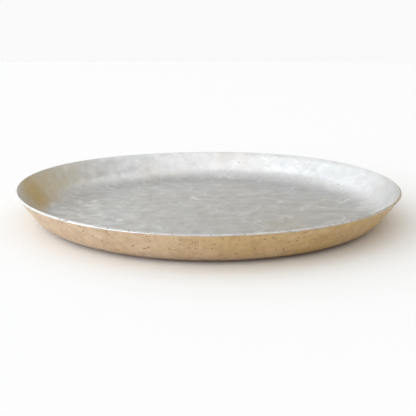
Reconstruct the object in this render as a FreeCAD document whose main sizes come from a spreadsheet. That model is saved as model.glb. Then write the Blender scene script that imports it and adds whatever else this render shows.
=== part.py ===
"""Round hammered copper tray with a wiped tin lining, as a parametric FreeCAD document.

The tray is raised from one disc of sheet copper: a flat base, a corner rolled to a large radius and a
straight flared wall that ends in a square-cut rim. Molten tin is wiped over the whole inside, across
the cut edge of the rim and a little way down the outside, where it freezes as a second, thinner skin.
The two skins are separate solids that meet face to face. Each is one sketched profile, revolved.

Units are millimetres and degrees. +Z is up along the tray's axis, and the origin is the centre of the
underside.
"""
import FreeCAD, Part
import math
import os

import Sketcher

# Driving dimensions: alias, value and what it measures.
DIMENSIONS = (
    ("rim_radius", 199.6, "axis to the outer corner of the copper's cut edge"),
    ("rim_height", 33.0, "underside to that same corner"),
    ("wall_slope", 55.0, "degrees between the straight wall and the base"),
    ("corner_radius", 32.0, "outer radius of the rolled corner between base and wall"),
    ("copper_thickness", 1.6, "sheet copper"),
    ("tin_thickness", 0.3, "wiped tin, everywhere"),
    ("tin_lap", 1.2, "how far the tin runs down the outside of the wall"),
    ("rim_softening", 0.4, "radius that wiping leaves on the tin's two rim corners"),
)

SHEET = "Dimensions"
SIZE = {alias: value for alias, value, _ in DIMENSIONS}

# Sketcher's numbers for the points of an edge, for the origin and for the vertical axis of a sketch.
START, END, CENTRE = 1, 2, 3
ORIGIN = (-1, 1)
VERTICAL_AXIS = -2

# Turns, in degrees.
FULL_TURN = 360
QUARTER_TURN = 90

# Headings of the short edges round the rim, in degrees from straight up the wall.
UP = 0
OUTWARD = -90
BACK_DOWN = -180

# Angles of a profile's arcs, in radians.
STRAIGHT_DOWN = math.radians(-90)
SLOPE = math.radians(SIZE["wall_slope"])

# Directions in a profile, whose x is the radius and whose y is the height.
UP_THE_WALL = FreeCAD.Vector(math.cos(SLOPE), math.sin(SLOPE), 0)
OUT_OF_THE_WALL = FreeCAD.Vector(math.sin(SLOPE), -math.cos(SLOPE), 0)


def point(radius, height):
    """A point of a profile."""
    return FreeCAD.Vector(radius, height, 0)


def corner_centre():
    """Centre of the rolled corner, found by coming down the wall from the rim."""
    radius = SIZE["corner_radius"]
    drop = SIZE["rim_height"] - radius * (1 - math.cos(SLOPE))
    foot = SIZE["rim_radius"] - drop / math.tan(SLOPE)
    return point(foot - radius * math.sin(SLOPE), radius)


class Profile:
    """A closed profile on the XZ plane of a new body, whose sizes follow the sheet."""

    def __init__(self, doc, label):
        self.body = doc.addObject("PartDesign::Body", label)
        self.body.Label = label
        plane = next(f for f in self.body.Origin.OriginFeatures if f.Role == "XZ_Plane")
        self.sketch = self.body.newObject("Sketcher::SketchObject", f"{label}_profile")
        self.sketch.AttachmentSupport = [(plane, "")]
        self.sketch.MapMode = "FlatFace"

    def line(self, first, second):
        """Adds a straight edge and returns its number."""
        return self.sketch.addGeometry(Part.LineSegment(first, second))

    def arc(self, centre, radius, first_angle, last_angle):
        """Adds an anticlockwise arc and returns its number."""
        circle = Part.Circle(centre, FreeCAD.Vector(0, 0, 1), radius)
        return self.sketch.addGeometry(Part.ArcOfCircle(circle, first_angle, last_angle))

    def hold(self, kind, *references):
        """Adds a constraint that has no size."""
        self.sketch.addConstraint(Sketcher.Constraint(kind, *references))

    def join(self, first, second):
        """Joins the end of one edge to the start of the next."""
        self.hold("Coincident", first, END, second, START)

    def smooth(self, first, first_point, second, second_point):
        """Joins two edges without a corner."""
        self.hold("Tangent", first, first_point, second, second_point)

    def drive(self, name, expression, value, kind, *references):
        """Adds a size that follows an expression in the sheet's aliases."""
        number = self.sketch.addConstraint(Sketcher.Constraint(kind, *references, value))
        self.sketch.renameConstraint(number, name)
        self.sketch.setExpression(f"Constraints.{name}", expression)

    def drive_from(self, alias, kind, *references):
        """Adds a size that is one of the sheet's own."""
        self.drive(alias, f"{SHEET}.{alias}", SIZE[alias], kind, *references)

    def drive_rim(self, edge, end):
        """Puts one end of an edge on the outer corner of the copper's cut edge."""
        self.drive_from("rim_radius", "DistanceX", *ORIGIN, edge, end)
        self.drive_from("rim_height", "DistanceY", *ORIGIN, edge, end)

    def drive_sweep(self, name, rolled_corner):
        """Turns a rolled corner through the slope of the wall."""
        self.drive(name, f"{SHEET}.wall_slope * 1 deg", SLOPE, "Angle", rolled_corner)

    def drive_heading(self, name, edge, turn):
        """Points a straight edge so many degrees round from straight up the wall."""
        heading = SLOPE + math.radians(turn)
        self.drive(name, f"({SHEET}.wall_slope + {turn}) * 1 deg", heading, "Angle", edge)

    def revolve(self):
        """Turns the profile round the tray's axis and returns the finished body."""
        feature = self.body.newObject("PartDesign::Revolution", f"{self.body.Label}_revolved")
        feature.Profile = self.sketch
        feature.ReferenceAxis = (self.sketch, ["V_Axis"])
        feature.Angle = FULL_TURN
        self.body.Tip = feature
        return self.body


def make_sheet(doc):
    """The spreadsheet that holds the driving dimensions."""
    sheet = doc.addObject("Spreadsheet::Sheet", SHEET)
    for row, (alias, value, meaning) in enumerate(DIMENSIONS, start=1):
        sheet.set(f"A{row}", alias)
        sheet.set(f"B{row}", str(value))
        sheet.set(f"C{row}", meaning)
        sheet.setAlias(f"B{row}", alias)
    doc.recompute()


def make_copper_body(doc):
    """The raised copper dish: one sheet of even thickness, cut square at the rim."""
    copper = SIZE["copper_thickness"]
    radius = SIZE["corner_radius"]
    centre = corner_centre()
    rim = point(SIZE["rim_radius"], SIZE["rim_height"])
    inner_rim = rim - OUT_OF_THE_WALL * copper
    outer_foot = centre + OUT_OF_THE_WALL * radius
    inner_foot = centre + OUT_OF_THE_WALL * (radius - copper)

    profile = Profile(doc, "copper_body")
    underside = profile.line(point(0, 0), point(centre.x, 0))
    outer_corner = profile.arc(centre, radius, STRAIGHT_DOWN, STRAIGHT_DOWN + SLOPE)
    outer_wall = profile.line(outer_foot, rim)
    cut_edge = profile.line(rim, inner_rim)
    inner_wall = profile.line(inner_rim, inner_foot)
    inner_corner = profile.arc(centre, radius - copper, STRAIGHT_DOWN, STRAIGHT_DOWN + SLOPE)
    floor = profile.line(point(centre.x, copper), point(0, copper))
    axis = profile.line(point(0, copper), point(0, 0))

    profile.hold("Coincident", underside, START, *ORIGIN)
    profile.hold("Horizontal", underside)
    profile.smooth(underside, END, outer_corner, START)
    profile.smooth(outer_corner, END, outer_wall, START)
    profile.join(outer_wall, cut_edge)
    profile.hold("Perpendicular", outer_wall, cut_edge)
    profile.join(cut_edge, inner_wall)
    profile.smooth(inner_wall, END, inner_corner, END)
    profile.hold("Coincident", inner_corner, CENTRE, outer_corner, CENTRE)
    profile.smooth(inner_corner, START, floor, START)
    profile.hold("Horizontal", floor)
    profile.hold("PointOnObject", floor, END, VERTICAL_AXIS)
    profile.join(floor, axis)
    profile.join(axis, underside)

    profile.drive_rim(outer_wall, END)
    profile.drive_from("corner_radius", "Radius", outer_corner)
    profile.drive_sweep("outer_sweep", outer_corner)
    profile.drive_sweep("inner_sweep", inner_corner)
    profile.drive(
        "inner_radius", f"{SHEET}.corner_radius - {SHEET}.copper_thickness",
        radius - copper, "Radius", inner_corner,
    )
    return profile.revolve()


def make_tin_lining(doc):
    """The wiped tin: an even skin over the inside, the cut edge and the top of the outside.

    Its bonded face is held by the copper's own dimensions, so the two skins meet with no gap.
    """
    copper = SIZE["copper_thickness"]
    tin = SIZE["tin_thickness"]
    softening = SIZE["rim_softening"]
    bonded_radius = SIZE["corner_radius"] - copper
    open_radius = bonded_radius - tin
    centre = corner_centre()
    rim = point(SIZE["rim_radius"], SIZE["rim_height"])
    inner_rim = rim - OUT_OF_THE_WALL * copper
    lap_end = rim - UP_THE_WALL * SIZE["tin_lap"]
    proud_lap_end = lap_end + OUT_OF_THE_WALL * tin
    outer_round_centre = rim + (UP_THE_WALL + OUT_OF_THE_WALL) * (tin - softening)
    inner_round_centre = inner_rim + (UP_THE_WALL - OUT_OF_THE_WALL) * (tin - softening)

    profile = Profile(doc, "tin_lining")
    bonded_floor = profile.line(point(0, copper), point(centre.x, copper))
    bonded_corner = profile.arc(centre, bonded_radius, STRAIGHT_DOWN, STRAIGHT_DOWN + SLOPE)
    bonded_wall = profile.line(centre + OUT_OF_THE_WALL * bonded_radius, inner_rim)
    bonded_edge = profile.line(inner_rim, rim)
    bonded_lap = profile.line(rim, lap_end)
    lap_step = profile.line(lap_end, proud_lap_end)
    open_lap = profile.line(proud_lap_end, outer_round_centre + OUT_OF_THE_WALL * softening)
    outer_round = profile.arc(outer_round_centre, softening, STRAIGHT_DOWN + SLOPE, SLOPE)
    open_edge = profile.line(
        outer_round_centre + UP_THE_WALL * softening,
        inner_round_centre + UP_THE_WALL * softening,
    )
    inner_round = profile.arc(inner_round_centre, softening, SLOPE, SLOPE - STRAIGHT_DOWN)
    open_wall = profile.line(
        inner_round_centre - OUT_OF_THE_WALL * softening,
        centre + OUT_OF_THE_WALL * open_radius,
    )
    open_corner = profile.arc(centre, open_radius, STRAIGHT_DOWN, STRAIGHT_DOWN + SLOPE)
    open_floor = profile.line(point(centre.x, copper + tin), point(0, copper + tin))
    axis = profile.line(point(0, copper + tin), point(0, copper))

    profile.hold("PointOnObject", bonded_floor, START, VERTICAL_AXIS)
    profile.hold("Horizontal", bonded_floor)
    profile.smooth(bonded_floor, END, bonded_corner, START)
    profile.smooth(bonded_corner, END, bonded_wall, START)
    profile.join(bonded_wall, bonded_edge)
    profile.join(bonded_edge, bonded_lap)
    profile.join(bonded_lap, lap_step)
    profile.join(lap_step, open_lap)
    profile.smooth(open_lap, END, outer_round, START)
    profile.smooth(outer_round, END, open_edge, START)
    profile.smooth(open_edge, END, inner_round, START)
    profile.smooth(inner_round, END, open_wall, START)
    profile.hold("Equal", outer_round, inner_round)
    profile.smooth(open_wall, END, open_corner, END)
    profile.hold("Coincident", open_corner, CENTRE, bonded_corner, CENTRE)
    profile.smooth(open_corner, START, open_floor, START)
    profile.hold("Horizontal", open_floor)
    profile.hold("PointOnObject", open_floor, END, VERTICAL_AXIS)
    profile.join(open_floor, axis)
    profile.join(axis, bonded_floor)

    profile.drive_rim(bonded_edge, END)
    profile.drive_from("copper_thickness", "DistanceY", *ORIGIN, bonded_floor, START)
    profile.drive("cut_edge", f"{SHEET}.copper_thickness", copper, "Distance", bonded_edge)
    profile.drive_heading("edge_heading", bonded_edge, OUTWARD)
    profile.drive_heading("lap_heading", bonded_lap, BACK_DOWN)
    profile.drive_heading("step_heading", lap_step, OUTWARD)
    profile.drive_heading("open_lap_heading", open_lap, UP)
    profile.drive_from("tin_lap", "Distance", bonded_lap)
    profile.drive_from("tin_thickness", "Distance", lap_step)
    profile.drive(
        "open_lap_length",
        f"{SHEET}.tin_lap + {SHEET}.tin_thickness - {SHEET}.rim_softening",
        SIZE["tin_lap"] + tin - softening, "Distance", open_lap,
    )
    profile.drive_from("rim_softening", "Radius", outer_round)
    profile.drive(
        "outer_round_sweep", f"{QUARTER_TURN} deg",
        math.radians(QUARTER_TURN), "Angle", outer_round,
    )
    profile.drive_sweep("bonded_sweep", bonded_corner)
    profile.drive_sweep("open_sweep", open_corner)
    profile.drive(
        "bonded_radius", f"{SHEET}.corner_radius - {SHEET}.copper_thickness",
        bonded_radius, "Radius", bonded_corner,
    )
    profile.drive(
        "open_radius",
        f"{SHEET}.corner_radius - {SHEET}.copper_thickness - {SHEET}.tin_thickness",
        open_radius, "Radius", open_corner,
    )
    return profile.revolve()


def check(doc, bodies):
    """Stops unless every object recomputed, every sketch is fully held and every solid is sound."""
    for item in doc.Objects:
        faults = {"Invalid", "Error"} & set(item.State)
        if faults:
            raise RuntimeError(f"{item.Label} is {sorted(faults)}")
        if item.TypeId == "Sketcher::SketchObject" and not item.FullyConstrained:
            raise RuntimeError(f"{item.Label} isn't fully constrained")
    for body in bodies:
        shape = body.Shape
        if shape.isNull() or not shape.isValid() or len(shape.Solids) != 1:
            raise RuntimeError(f"{body.Label} isn't one valid solid")


def main():
    doc = FreeCAD.newDocument("hammered_tray")
    make_sheet(doc)
    bodies = [make_copper_body(doc), make_tin_lining(doc)]
    doc.recompute()
    check(doc, bodies)
    os.makedirs("parts", exist_ok=True)
    for body in bodies:
        body.Shape.exportStep(f"parts/{body.Label}.step")
        box = body.Shape.optimalBoundingBox()
        size = f"{box.XLength:.2f} x {box.YLength:.2f} x {box.ZLength:.2f} mm"
        print(f"{body.Label}: {size}, {body.Shape.Volume:.0f} mm3")


main()
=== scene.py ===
"""Looks of the hammered copper tray: hammered copper, wiped tin, floor, light and camera.

Everything is in metres, in the tray's own frame: +Z up its axis, origin at the centre of the
underside. The inside face, the outside face and the face where the two metals meet are all given as
a length along the tray's section, from the axis towards the rim, and a depth inside the outer face.
"""
import math

import bpy
import numpy as np
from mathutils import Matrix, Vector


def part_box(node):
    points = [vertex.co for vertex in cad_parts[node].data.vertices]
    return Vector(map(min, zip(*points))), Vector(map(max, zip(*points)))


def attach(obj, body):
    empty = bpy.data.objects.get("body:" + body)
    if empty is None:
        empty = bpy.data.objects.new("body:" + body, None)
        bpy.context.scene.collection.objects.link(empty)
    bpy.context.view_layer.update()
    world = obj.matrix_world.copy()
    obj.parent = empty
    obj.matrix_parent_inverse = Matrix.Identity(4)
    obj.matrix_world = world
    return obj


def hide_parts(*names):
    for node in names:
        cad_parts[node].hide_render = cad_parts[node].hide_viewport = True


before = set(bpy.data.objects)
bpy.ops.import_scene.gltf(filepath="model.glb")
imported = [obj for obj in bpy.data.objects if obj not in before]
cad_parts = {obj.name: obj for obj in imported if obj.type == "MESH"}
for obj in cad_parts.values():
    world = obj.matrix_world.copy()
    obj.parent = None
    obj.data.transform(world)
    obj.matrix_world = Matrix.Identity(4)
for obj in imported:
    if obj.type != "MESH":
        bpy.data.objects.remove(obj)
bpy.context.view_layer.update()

# --------------------------------------------------------------------------------------------------
# The tray's section, as in the CAD model
# --------------------------------------------------------------------------------------------------
MM = 0.001
COPPER = 1.6 * MM
TIN = 0.3 * MM
TIN_DEPTH = COPPER + TIN
CORNER_RADIUS = 32 * MM
WALL_SLOPE = math.radians(55)
RIM_SOFTENING = 0.4 * MM

COPPER_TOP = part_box("copper_body")[1]
RIM_RADIUS = COPPER_TOP[0]
RIM_HEIGHT = COPPER_TOP[2] - COPPER * math.cos(WALL_SLOPE)

# Lengths along the outside of the section, from the axis: to the edge of the flat base, to the foot
# of the straight wall and to the rim.
FOOT_HEIGHT = CORNER_RADIUS * (1 - math.cos(WALL_SLOPE))
WALL_LENGTH = (RIM_HEIGHT - FOOT_HEIGHT) / math.sin(WALL_SLOPE)
TO_BASE_EDGE = (
    RIM_RADIUS - WALL_LENGTH * math.cos(WALL_SLOPE) - CORNER_RADIUS * math.sin(WALL_SLOPE)
)
TO_WALL_FOOT = TO_BASE_EDGE + CORNER_RADIUS * WALL_SLOPE
TO_RIM = TO_WALL_FOOT + WALL_LENGTH

# The hand-made rim rises and falls: waves round the rim, height, and phase in degrees.
RIM_WAVES = ((2, 0.72 * MM, 4), (3, 0.43 * MM, 167), (4, 0.12 * MM, -145))


def on_section(length, depth):
    """Radius and height of a point that lies depth inside the outer face, at a length along it."""
    turn = np.clip((length - TO_BASE_EDGE) / CORNER_RADIUS, 0, WALL_SLOPE)
    up_wall = np.maximum(length - TO_WALL_FOOT, 0)
    radius = (
        np.minimum(length, TO_BASE_EDGE)
        + (CORNER_RADIUS - depth) * np.sin(turn)
        + up_wall * math.cos(WALL_SLOPE)
    )
    height = (
        CORNER_RADIUS
        - (CORNER_RADIUS - depth) * np.cos(turn)
        + up_wall * math.sin(WALL_SLOPE)
    )
    return radius, height


def place(angle, length, depth):
    """Points of the tray, from their angle round the axis and their place in the section."""
    radius, height = on_section(length, depth)
    share = np.clip(height / RIM_HEIGHT, 0, None) ** 2
    for waves, rise, phase in RIM_WAVES:
        height = height + share * rise * np.cos(waves * angle - math.radians(phase))
    return np.stack([radius * np.cos(angle), radius * np.sin(angle), height], -1)


# --------------------------------------------------------------------------------------------------
# Skins made of rings of points round the axis
# --------------------------------------------------------------------------------------------------
GOLDEN_RATIO = 0.618034
FEWEST_IN_RING = 6
# A number this close to halfway between two whole numbers counts as halfway.
TIE = 1e-6


def nearest(value, lean):
    """Nearest whole numbers. A number halfway between two goes up or down, as lean says."""
    return np.floor(value + 0.5 + lean).astype(int)


class Rings:
    """Rings of points that follow a closed section. Each ring has its own number of points."""

    def __init__(self):
        self.counts = []
        self.phases = []
        self.angles = []
        self.lengths = []
        self.depths = []

    def add(self, length, depth, spacing):
        """Adds a ring. length and depth are numbers, or functions of the angle round the axis."""
        typical = length(np.zeros(1))[0] if callable(length) else length
        radius = float(on_section(np.array(typical), 0)[0])
        count = max(FEWEST_IN_RING, round(2 * math.pi * radius / spacing)) if typical else 1
        phase = (typical / spacing * GOLDEN_RATIO) % 1 / count
        angle = 2 * math.pi * (np.arange(count) / count + phase)
        self.counts.append(count)
        self.phases.append(phase)
        self.angles.append(angle)
        self.lengths.append(length(angle) if callable(length) else np.full(count, float(length)))
        self.depths.append(depth(angle) if callable(depth) else np.full(count, float(depth)))

    def gather(self):
        """The angle, length and depth of every point, ring after ring."""
        return [np.concatenate(part) for part in (self.angles, self.lengths, self.depths)]

    def faces(self):
        """Triangles between each ring and the next, which join points that are near in angle."""
        starts = np.concatenate([[0], np.cumsum(self.counts)])
        triangles = []
        for ring in range(len(self.counts) - 1):
            inner, outer = self.counts[ring], self.counts[ring + 1]
            shift = self.phases[ring] - self.phases[ring + 1]
            if inner > 1:
                here = np.arange(inner)
                across = nearest(((here + 0.5) / inner + shift) * outer, TIE) % outer
                triangles.append(np.stack([
                    starts[ring] + here,
                    starts[ring + 1] + across,
                    starts[ring] + (here + 1) % inner,
                ], -1))
            if outer > 1:
                here = np.arange(outer)
                across = nearest(((here + 0.5) / outer - shift) * inner, -TIE) % inner
                triangles.append(np.stack([
                    starts[ring + 1] + here,
                    starts[ring + 1] + (here + 1) % outer,
                    starts[ring] + across,
                ], -1))
        return np.concatenate(triangles)


def make_piece(name, points, faces, node, material):
    """A piece with smooth shading, which stands for a CAD node and rides on the tray's body."""
    mesh = bpy.data.meshes.new(name)
    mesh.from_pydata(points.tolist(), [], faces.tolist())
    mesh.shade_smooth()
    mesh.materials.append(material)
    piece = bpy.data.objects.new(name, mesh)
    bpy.context.scene.collection.objects.link(piece)
    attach(piece, "root")
    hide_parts(node)
    return piece


def store(piece, name, values):
    """Keeps one number for each point of a piece, for its material to read."""
    attribute = piece.data.attributes.new(name, "FLOAT", "POINT")
    attribute.data.foreach_set("value", values.astype(np.float32))


# --------------------------------------------------------------------------------------------------
# Hammer marks, ripples, uneven lines and pits
# --------------------------------------------------------------------------------------------------
class Blows:
    """Hammer blows laid in uneven rounds from the centre of the tray to its rim.

    depths is the range of how deep they press, and faces that of the radius of the hammer's face.
    On the wall they are shallower, by wall_share, and flatter by as much.
    """

    def __init__(self, seed, between_rounds, between_blows, scatter, depths, faces, wall_share):
        random = np.random.default_rng(seed)
        angles, lengths = [], []
        for length in np.arange(0, TO_RIM + between_rounds, between_rounds):
            count = max(1, round(2 * math.pi * length / between_blows))
            angle = 2 * math.pi * (np.arange(count) + random.random()) / count
            angles.append(angle + random.normal(0, scatter, count) * 2 * math.pi / count)
            lengths.append(length + random.normal(0, scatter, count) * between_rounds)
        length = np.abs(np.concatenate(lengths))
        self.centres = place(np.concatenate(angles), length, np.zeros(len(length)))
        share = np.where(length > TO_BASE_EDGE, wall_share, 1)
        self.depths = random.uniform(*depths, len(length)) * share
        self.faces = random.uniform(*faces, len(length)) / share

    def pressed(self, points):
        """How deep each point is pressed. Each blow leaves a round hollow; the deepest one wins."""
        level = np.zeros(len(points))
        for centre, depth, face in zip(self.centres, self.depths, self.faces):
            reach = math.sqrt(2 * face * (depth + SOFT_RIDGE))
            near = np.flatnonzero(np.abs(points[:, 0] - centre[0]) < reach)
            near = near[np.abs(points[near, 1] - centre[1]) < reach]
            away = ((points[near] - centre) ** 2).sum(-1)
            hollow = depth - away / (2 * face)
            blend = np.maximum(SOFT_RIDGE - np.abs(level[near] - hollow), 0)
            level[near] = np.maximum(level[near], hollow) + blend**2 / (4 * SOFT_RIDGE)
        return level


def ripples(points, seed, wavelengths, height, count=40):
    """A gentle uneven swell, made of many small waves that run in all directions."""
    random = np.random.default_rng(seed)
    total = np.zeros(len(points))
    for _ in range(count):
        heading = random.normal(size=3)
        heading *= 2 * math.pi / random.uniform(*wavelengths) / np.linalg.norm(heading)
        total += np.sin(points @ heading + random.uniform(0, 2 * math.pi))
    return total * height / math.sqrt(count)


def round_the_rim(angle, seed, waves, count=30):
    """An uneven line round the rim, about 1 high, made of waves that close on themselves."""
    random = np.random.default_rng(seed)
    total = np.zeros(len(angle))
    for turns in random.integers(*waves, count):
        total += np.sin(turns * angle + random.uniform(0, 2 * math.pi))
    return total / math.sqrt(count)


def add_pits(pits, random, candidates, count, strengths, next_strengths):
    """Pits at some of the candidates. A third of them take in the next point of the ring too."""
    pitted = random.choice(candidates, count, replace=False)
    pits[pitted] = random.uniform(*strengths, count)
    wide = pitted[:count // 3]
    pits[wide + 1] = random.uniform(*next_strengths, len(wide))


# How far the ridge between two hollows is rounded off.
SOFT_RIDGE = 0.03 * MM
# How deep the inside is pressed on average, so that it stays level with the CAD model.
MEAN_PRESS = 0.5 * MM
# The marks fade out over this last part of the wall, so that the rim's edge stays even.
RIM_FADE = 4 * MM

INSIDE_BLOWS = Blows(
    seed=11, between_rounds=10.5 * MM, between_blows=13 * MM, scatter=0.45,
    depths=(0.12 * MM, 1.0 * MM), faces=(40 * MM, 100 * MM), wall_share=0.38,
)
OUTSIDE_BLOWS = Blows(
    seed=23, between_rounds=9 * MM, between_blows=9.5 * MM, scatter=0.35,
    depths=(0.05 * MM, 0.14 * MM), faces=(130 * MM, 240 * MM), wall_share=1,
)


def inside_relief(points):
    """How far the hammered inside lies below the smooth one."""
    return INSIDE_BLOWS.pressed(points) - MEAN_PRESS


def fading(length):
    """Share of the marks that is left at a length along the section."""
    return np.clip((TO_RIM - length) / RIM_FADE, 0, 1)


# --------------------------------------------------------------------------------------------------
# Tin lining
# --------------------------------------------------------------------------------------------------
TIN_SPACING = 1.38 * MM
HIDDEN_SPACING = 4 * MM
BESIDE_EDGE = 0.15 * MM
ROUNDING_STEPS = (30, 60, 90)
LAP_STEPS = (0, 0.12, 0.4, 0.7, 0.92)
# Depths that differ by less than this are the same, or belong to the flat beside an edge.
SAME_DEPTH = 0.01 * MM
FLAT_BESIDE = 0.05 * MM

TIN_TOP = TO_RIM + TIN
TIN_SHOULDER = TIN_TOP - RIM_SOFTENING

LAP_LENGTH = 0.5 * MM
LAP_UNEVENNESS = 0.25 * MM
DRIP_LENGTH = 1.2 * MM
DRIP_THRESHOLD = 1.2

RIM_PITS = 520
INSIDE_PITS = 40


def lap_edge(angle):
    """Length along the section where the tin ends, an uneven line with a few drips."""
    uneven = round_the_rim(angle, seed=5, waves=(4, 90))
    drips = np.clip(round_the_rim(angle, seed=8, waves=(20, 160)) - DRIP_THRESHOLD, 0, None)
    return TO_RIM - (LAP_LENGTH + LAP_UNEVENNESS * uneven + DRIP_LENGTH * drips)


def lap_thickness(share):
    """How thick the tin is outside, at a share of the way down the lap, as a depth."""
    def depth(angle):
        uneven = 1 + 0.25 * round_the_rim(angle, seed=7, waves=(10, 120))
        return -TIN * uneven * math.sqrt(1 - 0.8 * share)
    return depth


def down_the_lap(share):
    """Length along the section at a share of the way down the lap."""
    return lambda angle: TIN_SHOULDER + share * (lap_edge(angle) - TIN_SHOULDER)


def hidden_lengths():
    """Lengths of the rings on the face where the two metals meet, from the rim to the axis."""
    return np.linspace(TO_RIM, 0, round(TO_RIM / HIDDEN_SPACING) + 1)


def add_rounding(rings, steps, face_depth, inwards):
    """Rings round one softened edge of the rim, which starts on the face at face_depth."""
    for step in steps:
        turn = math.radians(step)
        rings.add(
            TIN_SHOULDER + RIM_SOFTENING * math.sin(turn),
            face_depth + inwards * RIM_SOFTENING * (1 - math.cos(turn)),
            TIN_SPACING,
        )


def tin_rings():
    """The tin's rings: up the inside, over the rim, down the lap and back where the metals meet."""
    rings = Rings()
    up_inside = round(TIN_SHOULDER / TIN_SPACING)
    for length in np.linspace(0, TIN_SHOULDER - BESIDE_EDGE, up_inside):
        rings.add(length, TIN_DEPTH, TIN_SPACING)
    rings.add(TIN_SHOULDER, TIN_DEPTH, TIN_SPACING)
    add_rounding(rings, ROUNDING_STEPS, TIN_DEPTH, -1)
    rings.add(TIN_TOP, TIN_DEPTH - RIM_SOFTENING - BESIDE_EDGE, TIN_SPACING)
    rings.add(TIN_TOP, COPPER / 2, TIN_SPACING)
    rings.add(TIN_TOP, RIM_SOFTENING - TIN + BESIDE_EDGE, TIN_SPACING)
    add_rounding(rings, reversed(ROUNDING_STEPS), -TIN, 1)
    for share in LAP_STEPS:
        rings.add(down_the_lap(share), lap_thickness(share), TIN_SPACING)
    rings.add(lap_edge, 0, TIN_SPACING)
    rings.add(TO_RIM, 0, TIN_SPACING)
    for length in hidden_lengths():
        rings.add(length, COPPER, HIDDEN_SPACING)
    return rings


def make_tin(material):
    """The wiped tin: the hammered inside, the rim and the uneven lap down the outside."""
    rings = tin_rings()
    angle, length, depth = rings.gather()
    smooth = place(angle, length, depth)
    inside = depth >= COPPER
    open_face = np.abs(depth - TIN_DEPTH) < SAME_DEPTH
    fade = fading(length)
    relief = np.zeros(len(depth))
    relief[inside] = inside_relief(smooth[inside]) * fade[inside]
    relief += open_face * fade * ripples(
        smooth, seed=31, wavelengths=(6 * MM, 16 * MM), height=0.02 * MM
    )

    pits = np.zeros(len(depth))
    random = np.random.default_rng(47)
    on_rim = (depth < TIN_DEPTH - FLAT_BESIDE) & ((length > TO_RIM) | (depth < 0))
    add_pits(pits, random, np.flatnonzero(on_rim), RIM_PITS, (0.4, 1), (0.4, 1))
    strengths = random.uniform(0.3, 0.9, INSIDE_PITS)
    pits[random.choice(np.flatnonzero(open_face), INSIDE_PITS, replace=False)] = strengths

    points = place(angle, length, depth - relief)
    faces = rings.faces()
    piece = make_piece("tin_lining_wiped", points, faces, "tin_lining", material)
    store(piece, "pit", pits)
    store(piece, "rim", (length > TIN_SHOULDER - BESIDE_EDGE) & ~inside | (depth < 0))


# --------------------------------------------------------------------------------------------------
# Copper body
# --------------------------------------------------------------------------------------------------
WALL_SPACING = 0.93 * MM
BASE_SPACING = 3.2 * MM
# The spacing on the underside goes over to that of the wall between these lengths.
SPACING_CHANGE = (TO_BASE_EDGE - 25 * MM, TO_BASE_EDGE - 4 * MM)
COPPER_PITS = 880
PIT_DEPTH = 0.28 * MM
# The pits are from a little above the base to a little below the rim.
PITTED = (TO_BASE_EDGE + 4 * MM, TO_RIM - 1 * MM)


def outside_rings(rings):
    """The rings on the outside, which close up towards the wall."""
    length = 0.0
    while length < TO_RIM:
        spacing = np.interp(length, SPACING_CHANGE, (BASE_SPACING, WALL_SPACING))
        rings.add(length, 0, spacing)
        length += spacing
    rings.add(TO_RIM, 0, WALL_SPACING)


def make_copper(material):
    """The raised copper, planished and pitted outside."""
    rings = Rings()
    outside_rings(rings)
    outside_points = sum(rings.counts)
    for length in hidden_lengths():
        rings.add(length, COPPER, HIDDEN_SPACING)

    angle, length, depth = rings.gather()
    smooth = place(angle, length, depth)
    outside = np.arange(len(depth)) < outside_points
    relief = fading(length)
    relief[outside] *= -OUTSIDE_BLOWS.pressed(smooth[outside])
    relief[~outside] *= inside_relief(smooth[~outside])

    pits = np.zeros(len(depth))
    candidates = np.flatnonzero(outside & (length > PITTED[0]) & (length < PITTED[1]))
    random = np.random.default_rng(41)
    add_pits(pits, random, candidates, COPPER_PITS, (0.5, 1), (0.4, 0.9))
    relief -= PIT_DEPTH * pits

    points = place(angle, length, depth - relief)
    # The section runs the other way round than the tin's, so the triangles are turned over.
    faces = rings.faces()[:, ::-1]
    piece = make_piece("copper_body_hammered", points, faces, "copper_body", material)
    store(piece, "pit", pits)


# --------------------------------------------------------------------------------------------------
# Materials
# --------------------------------------------------------------------------------------------------
def feed(links, socket, value):
    """Links an output to a socket, or gives the socket a plain value."""
    if isinstance(value, bpy.types.NodeSocket):
        links.new(value, socket)
    else:
        socket.default_value = value


def plain_material(name, base_color, metallic, roughness):
    """A material with one Principled shader. Nodes may replace its plain colour and roughness."""
    material = bpy.data.materials.new(name)
    material.use_nodes = True
    shader = material.node_tree.nodes["Principled BSDF"]
    shader.inputs["Base Color"].default_value = (*base_color, 1)
    shader.inputs["Metallic"].default_value = metallic
    shader.inputs["Roughness"].default_value = roughness
    return material


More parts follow.
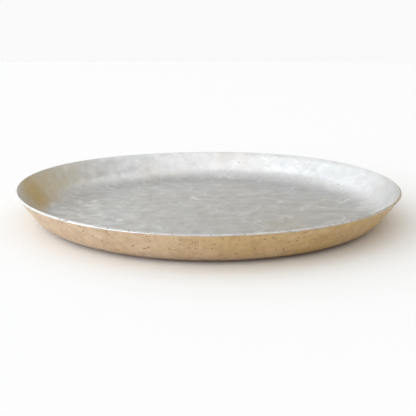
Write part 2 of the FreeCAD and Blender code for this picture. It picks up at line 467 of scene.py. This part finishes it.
class Graph:
    """Adds nodes to a material, each linked to the ones before it.

    across is the distance to the side, along X, and height the distance above the underside.
    """

    def __init__(self, material):
        self.nodes = material.node_tree.nodes
        self.links = material.node_tree.links
        self.shader = self.nodes["Principled BSDF"]
        self.where = self.nodes.new("ShaderNodeTexCoord").outputs["Object"]
        split = self.nodes.new("ShaderNodeSeparateXYZ")
        self.links.new(self.where, split.inputs["Vector"])
        self.across = split.outputs["X"]
        self.height = split.outputs["Z"]

    def math(self, operation, *values):
        """One step of arithmetic on outputs and plain numbers."""
        node = self.nodes.new("ShaderNodeMath")
        node.operation = operation
        for socket, value in zip(node.inputs, values):
            feed(self.links, socket, value)
        return node.outputs["Value"]

    def noise(self, size, detail=3, distortion=0, shift=0, factors=(1, 1, 1)):
        """Noise from 0 to 1, about even, whose patches are about size across."""
        stretch = self.nodes.new("ShaderNodeMapping")
        self.links.new(self.where, stretch.inputs["Vector"])
        stretch.inputs["Scale"].default_value = factors
        stretch.inputs["Location"].default_value = (shift, shift, shift)
        node = self.nodes.new("ShaderNodeTexNoise")
        self.links.new(stretch.outputs["Vector"], node.inputs["Vector"])
        node.inputs["Scale"].default_value = 0.6 / size
        node.inputs["Detail"].default_value = detail
        node.inputs["Distortion"].default_value = distortion
        return node.outputs["Fac"]

    def spread(self, value, low, high, to_low=0, to_high=1):
        """Maps low..high smoothly to to_low..to_high, and holds it at the ends."""
        node = self.nodes.new("ShaderNodeMapRange")
        node.interpolation_type = "SMOOTHSTEP"
        self.links.new(value, node.inputs["Value"])
        node.inputs["From Min"].default_value = low
        node.inputs["From Max"].default_value = high
        node.inputs["To Min"].default_value = to_low
        node.inputs["To Max"].default_value = to_high
        return node.outputs["Result"]

    def strokes(self, curves, distortion, shift, width, gaps, gap_shift, gap_edge, strength=1):
        """Thin curved strokes, where a noise crosses its middle. A second noise leaves gaps."""
        noise = self.noise(curves, detail=2, distortion=distortion, shift=shift)
        off_middle = self.math("ABSOLUTE", self.math("SUBTRACT", noise, 0.5))
        ridges = self.spread(off_middle, 0, width, 1, 0)
        shown = self.spread(self.noise(gaps, detail=1, shift=gap_shift), *gap_edge, 0, strength)
        return self.math("MULTIPLY", ridges, shown)

    def mix(self, share, first, second):
        """Mixes two colours."""
        node = self.nodes.new("ShaderNodeMix")
        node.data_type = "RGBA"
        feed(self.links, node.inputs[0], share)
        feed(self.links, node.inputs[6], first)
        feed(self.links, node.inputs[7], second)
        return node.outputs[2]

    def away_from(self, spot):
        """Distance from a spot on the piece."""
        node = self.nodes.new("ShaderNodeVectorMath")
        node.operation = "DISTANCE"
        self.links.new(self.where, node.inputs[0])
        node.inputs[1].default_value = spot
        return node.outputs["Value"]

    def stored(self, name):
        """A number that each point of the piece carries."""
        node = self.nodes.new("ShaderNodeAttribute")
        node.attribute_name = name
        return node.outputs["Fac"]

    def pitted(self, color):
        """The colour with the piece's pits in it."""
        return self.mix(self.spread(self.stored("pit"), 0.1, 0.75), color, PIT_BROWN)

    def finish(self, color, roughness, bump, bump_depth):
        """Gives the shader its colour and roughness, and unevenness too fine for the mesh."""
        self.links.new(color, self.shader.inputs["Base Color"])
        self.links.new(roughness, self.shader.inputs["Roughness"])
        node = self.nodes.new("ShaderNodeBump")
        self.links.new(bump, node.inputs["Height"])
        node.inputs["Distance"].default_value = bump_depth
        self.links.new(node.outputs["Normal"], self.shader.inputs["Normal"])


PIT_BROWN = (0.17, 0.095, 0.05, 1)

TIN_GREY = (0.655, 0.66, 0.67, 1)
TIN_WARM = (0.64, 0.615, 0.575, 1)
TIN_LIGHT = (0.90, 0.905, 0.91, 1)
TIN_DARK = (0.55, 0.545, 0.53, 1)
# Painted shade on the right of the rim.
TIN_PAINTED_SHADE_DULL = (0.56, 0.54, 0.555, 1)
TIN_PAINTED_REFLECTION_GOLD = (0.64, 0.51, 0.30, 1)
# Middle of the golden spot at the foot of the wall on the left, a painted warm reflection.
PAINTED_REFLECTION_SPOT = (-187 * MM, -4 * MM, 16 * MM)


def tin_material():
    """Tin wiped on by hand: grey, warmer in patches, with strokes, a golden spot of painted
    reflection, a rim with painted light, and pits.
    """
    material = plain_material("wiped_tin", (0.7, 0.7, 0.7), 1, 0.33)
    graph = Graph(material)
    on_floor = graph.spread(graph.height, 3 * MM, 10 * MM, 1, 0.1)
    on_wall = graph.spread(graph.height, 5 * MM, 12 * MM)

    # Grey, warm in patches, lighter in small clouds, and duller on the floor.
    warmth = graph.spread(graph.noise(45 * MM, detail=3, shift=5), 0.45, 0.68)
    color = graph.mix(warmth, TIN_GREY, TIN_WARM)
    clouds = graph.spread(graph.noise(9 * MM, detail=4, shift=9), 0.32, 0.68)
    contrast = graph.spread(graph.height, 3 * MM, 10 * MM, 0.4, 0.22)
    lighter = graph.math("MULTIPLY_ADD", graph.math("SUBTRACT", clouds, 0.5), contrast, 0.2)
    color = graph.mix(lighter, color, TIN_LIGHT)
    color = graph.mix(graph.math("MULTIPLY", on_floor, 0.25), color, TIN_DARK)

    # The golden spot, a painted warm reflection, which stays off the floor.
    uneven = graph.spread(warmth, 0, 1, 4 * MM, -4 * MM)
    away = graph.math("ADD", graph.away_from(PAINTED_REFLECTION_SPOT), uneven)
    golden = graph.math(
        "MULTIPLY",
        graph.spread(away, 10 * MM, 54 * MM, 1, 0),
        graph.spread(graph.height, 3 * MM, 8 * MM),
    )
    # Painted reflection: a warm golden tint on the tin low on the left wall.
    color = graph.mix(golden, color, TIN_PAINTED_REFLECTION_GOLD)

    # Long strokes left by wiping the floor, light ones and dark ones.
    smears = graph.strokes(
        curves=24 * MM, distortion=0.6, shift=0, width=0.035,
        gaps=18 * MM, gap_shift=3, gap_edge=(0.46, 0.62),
    )
    shades = graph.strokes(
        curves=20 * MM, distortion=0.8, shift=7, width=0.03,
        gaps=22 * MM, gap_shift=11, gap_edge=(0.48, 0.62),
    )
    for strokes, strength, tone in ((smears, 0.75, TIN_LIGHT), (shades, 0.55, TIN_DARK)):
        share = graph.math("MULTIPLY", graph.math("MULTIPLY", strokes, on_floor), strength)
        color = graph.mix(share, color, tone)

    # Short strokes on the wall, dark ones and light ones.
    for strength, tone, shift in ((0.35, TIN_DARK, 19), (0.32, TIN_LIGHT, 24)):
        strokes = graph.strokes(
            curves=9 * MM, distortion=0.3, shift=shift, width=0.04,
            gaps=12 * MM, gap_shift=shift + 2, gap_edge=(0.45, 0.6), strength=strength,
        )
        color = graph.mix(graph.math("MULTIPLY", strokes, on_wall), color, tone)

    # The rim, worn unevenly, with painted light: a painted highlight on the left and dull painted
    # shade on the right.
    # Painted light across the rim: light tin on the left, painted shade on the right. The wear
    # noise is the rim's own.
    edge = graph.mix(graph.spread(graph.across, -120 * MM, 40 * MM), TIN_LIGHT, TIN_PAINTED_SHADE_DULL)
    wear = graph.spread(graph.noise(7 * MM, detail=3, shift=15), 0.35, 0.65, 0.25, 0.9)
    color = graph.mix(graph.math("MULTIPLY", graph.stored("rim"), wear), color, edge)

    graph.finish(
        graph.pitted(color),
        roughness=graph.spread(clouds, 0, 1, 0.38, 0.29),
        bump=graph.noise(5 * MM, detail=3, distortion=0.4, shift=13),
        bump_depth=0.12 * MM,
    )
    return material


# Painted light: the copper as lit on the left, and in painted shade on the right.
COPPER_PAINTED_LIT_PALE = (0.77, 0.612, 0.45, 1)
COPPER_PAINTED_SHADED_GOLDEN = (0.67, 0.49, 0.235, 1)
COPPER_BRIGHT = (0.90, 0.76, 0.60, 1)
COPPER_BROWN = (0.38, 0.22, 0.11, 1)


def copper_material():
    """Bare copper with a satin skin, with painted light: pale on the lit left, golden in painted
    shade on the right; mottled and pitted.
    """
    material = plain_material("satin_copper", (0.72, 0.55, 0.35), 1, 0.42)
    graph = Graph(material)

    # Painted light: pale on the left and golden on the right, with an uneven border.
    patches = graph.noise(38 * MM, detail=3, distortion=0.3)
    golden = graph.math("ADD", graph.math("MULTIPLY", graph.across, 2.8), patches)
    color = graph.mix(graph.spread(golden, 0.14, 0.98), COPPER_PAINTED_LIT_PALE, COPPER_PAINTED_SHADED_GOLDEN)

    # Bright blotches, partly the copper's own pale patches and partly a painted highlight, stronger
    # on the lit left.
    blotches_and_sheen = graph.noise(11 * MM, detail=2, shift=4, factors=(1, 1, 2))
    # Painted highlight: the blotches are stronger on the left, where the light falls.
    strength = graph.spread(graph.across, -100 * MM, 60 * MM, 0.68, 0.25)
    blotches_and_sheen = graph.math("MULTIPLY", graph.spread(blotches_and_sheen, 0.54, 0.72), strength)
    color = graph.mix(blotches_and_sheen, color, COPPER_BRIGHT)

    # Brown mottling, fine grain, and a brown band low down that is partly grime and partly painted
    # shade where the tray meets the floor.
    mottle = graph.spread(graph.noise(6 * MM, detail=4, shift=8), 0.35, 0.7)
    color = graph.mix(graph.math("MULTIPLY", mottle, 0.26), color, COPPER_BROWN)
    grain = graph.spread(graph.noise(2.4 * MM, detail=2, shift=17), 0.5, 0.7)
    color = graph.mix(graph.math("MULTIPLY", grain, 0.22), color, COPPER_BROWN)
    # Painted shade: darker brown towards the bottom edge, partly grime.
    color = graph.mix(graph.spread(graph.height, 0, 7 * MM, 0.95, 0), color, COPPER_BROWN)

    graph.finish(
        graph.pitted(color),
        roughness=graph.spread(patches, 0.3, 0.7, 0.38, 0.48),
        bump=graph.noise(2.5 * MM, detail=3, shift=2),
        bump_depth=0.06 * MM,
    )
    return material


# --------------------------------------------------------------------------------------------------
# Floor, light and camera
# --------------------------------------------------------------------------------------------------
FLOOR_RADIUS = 6
FLOOR_SIDES = 96
FLOOR_COLOR = (0.95, 0.95, 0.95)
BACKDROP = (0.95, 0.95, 0.95)

# Soft lights round the studio: what each is, where it is (degrees round from +X, degrees up), how
# narrow it is, and its colour and strength.
LIGHTS = (
    ("low lamp, front left", 212, 0, 7.8, (4.2, 4.8, 5.3)),
    ("softbox over the front", 284, 51, 5.6, (1.06, 1.07, 1.12)),
    ("warm wall, low on the right", 42, 0, 6, (0.52, 0.43, 0.23)),
    ("broad window, back left", 146, 11, 2.3, (1.34, 1.38, 1.41)),
    ("softbox over the back right", 16, 57, 7.5, (0.72, 0.75, 0.77)),
    ("ceiling bounce, front left", 220, 52, 8.5, (0.49, 0.46, 0.43)),
    ("ceiling bounce, back", 90, 62, 9, (0.14, 0.14, 0.14)),
)
SKY = (0.05, 0.03, 0)

CAMERA_DISTANCE = 700 * MM
CAMERA_ELEVATION = math.radians(11.922)
AIM_BELOW_RIM = math.radians(2.290)
AIM_LEFT = math.radians(0.089)
CAMERA_ROLL = math.radians(-0.202)
CLIP_START = 10 * MM
LENS_MM = 56.24
SENSOR_MM = 36


def make_floor():
    """A wide pale floor under the tray."""
    bpy.ops.mesh.primitive_circle_add(
        vertices=FLOOR_SIDES, radius=FLOOR_RADIUS, fill_type="NGON"
    )
    floor = bpy.context.object
    floor.name = "floor"
    floor.data.materials.append(plain_material("pale_floor", FLOOR_COLOR, 0, 1))


def towards(azimuth, elevation):
    """A direction from the tray, from degrees round from +X and degrees up."""
    around, up = math.radians(azimuth), math.radians(elevation)
    return (math.cos(around) * math.cos(up), math.sin(around) * math.cos(up), math.sin(up))


def make_world():
    """Soft lights far away, each a glow that fades with the angle from its centre."""
    world = bpy.data.worlds.new("studio")
    world.use_nodes = True
    bpy.context.scene.world = world
    nodes, links = world.node_tree.nodes, world.node_tree.links
    direction = nodes.new("ShaderNodeTexCoord").outputs["Generated"]
    total = SKY
    for name, azimuth, elevation, narrow, color in LIGHTS:
        facing = nodes.new("ShaderNodeVectorMath")
        facing.operation = "DOT_PRODUCT"
        facing.label = name
        links.new(direction, facing.inputs[0])
        facing.inputs[1].default_value = towards(azimuth, elevation)
        fall = nodes.new("ShaderNodeMath")
        fall.operation = "MULTIPLY_ADD"
        links.new(facing.outputs["Value"], fall.inputs[0])
        fall.inputs[1].default_value = narrow
        fall.inputs[2].default_value = -narrow
        glow = nodes.new("ShaderNodeMath")
        glow.operation = "EXPONENT"
        links.new(fall.outputs["Value"], glow.inputs[0])
        add = nodes.new("ShaderNodeVectorMath")
        add.operation = "MULTIPLY_ADD"
        links.new(glow.outputs["Value"], add.inputs[0])
        add.inputs[1].default_value = color
        feed(links, add.inputs[2], total)
        total = add.outputs["Vector"]
    background = nodes["Background"]
    links.new(total, background.inputs["Color"])

    # What is seen straight on is an even pale backdrop, like the floor.
    backdrop = nodes.new("ShaderNodeBackground")
    backdrop.inputs["Color"].default_value = (*BACKDROP, 1)
    rays = nodes.new("ShaderNodeLightPath")
    mix = nodes.new("ShaderNodeMixShader")
    links.new(rays.outputs["Is Camera Ray"], mix.inputs["Fac"])
    links.new(background.outputs["Background"], mix.inputs[1])
    links.new(backdrop.outputs["Background"], mix.inputs[2])
    links.new(mix.outputs["Shader"], nodes["World Output"].inputs["Surface"])


def make_camera():
    """The camera, which looks at the tray from in front and a little above."""
    data = bpy.data.cameras.new("camera")
    data.lens = LENS_MM
    data.sensor_width = SENSOR_MM
    data.clip_start = CLIP_START
    camera = bpy.data.objects.new("camera", data)
    camera.location = (
        0,
        -CAMERA_DISTANCE * math.cos(CAMERA_ELEVATION),
        RIM_HEIGHT + CAMERA_DISTANCE * math.sin(CAMERA_ELEVATION),
    )
    look_down = CAMERA_ELEVATION + AIM_BELOW_RIM
    camera.rotation_euler = (math.pi / 2 - look_down, CAMERA_ROLL, AIM_LEFT)
    bpy.context.scene.collection.objects.link(camera)
    bpy.context.scene.camera = camera


make_tin(tin_material())
make_copper(copper_material())
make_floor()
make_world()
make_camera()
bpy.context.scene.view_settings.view_transform = "Standard"
